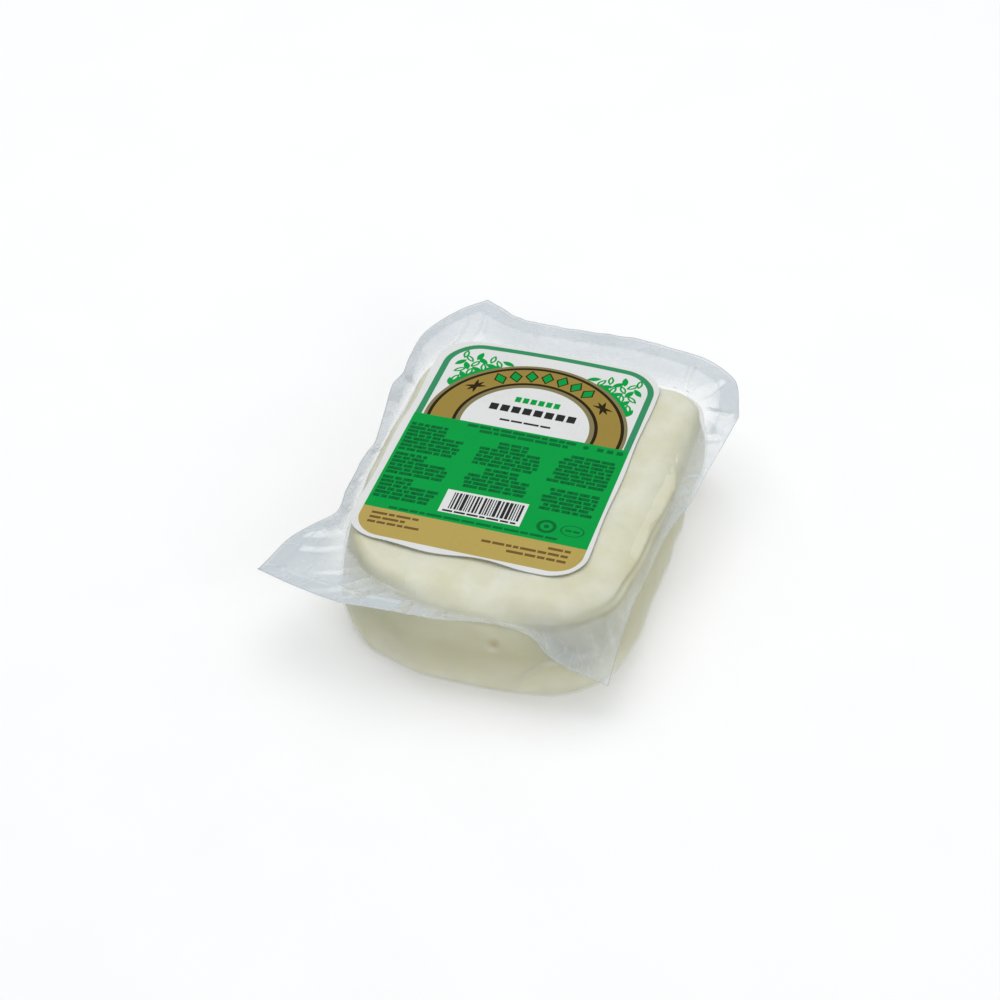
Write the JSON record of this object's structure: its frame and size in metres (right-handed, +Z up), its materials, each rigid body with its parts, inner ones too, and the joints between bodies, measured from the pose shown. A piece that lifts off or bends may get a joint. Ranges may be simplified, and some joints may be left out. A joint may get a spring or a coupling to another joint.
{
  "type": "vacuum packed cheese block",
  "caption": "Folded halloumi block sealed in clear film with a ruffled flange and long corner ears, with a rounded paper label printed in green, gold and white on top.",
  "frame": {"origin": "under the middle of the pack's bounding box, on the flat face it rests on", "axes": "+Y along the pack's length, from the front towards the back, +X to the right, +Z up through the label"},
  "size_m": [0.1006, 0.1306, 0.0293],
  "materials": {
    "film_over_cheese": "clear vacuum film drawn over cream cheese, with pale wrinkled film at the flange and ears",
    "label_paper": "smooth coated paper printed in green, gold, dark brown and white"
  },
  "bodies": {
    "root": {"halloumi_pack": "film_over_cheese", "label": "label_paper"}
  },
  "joints": []
}
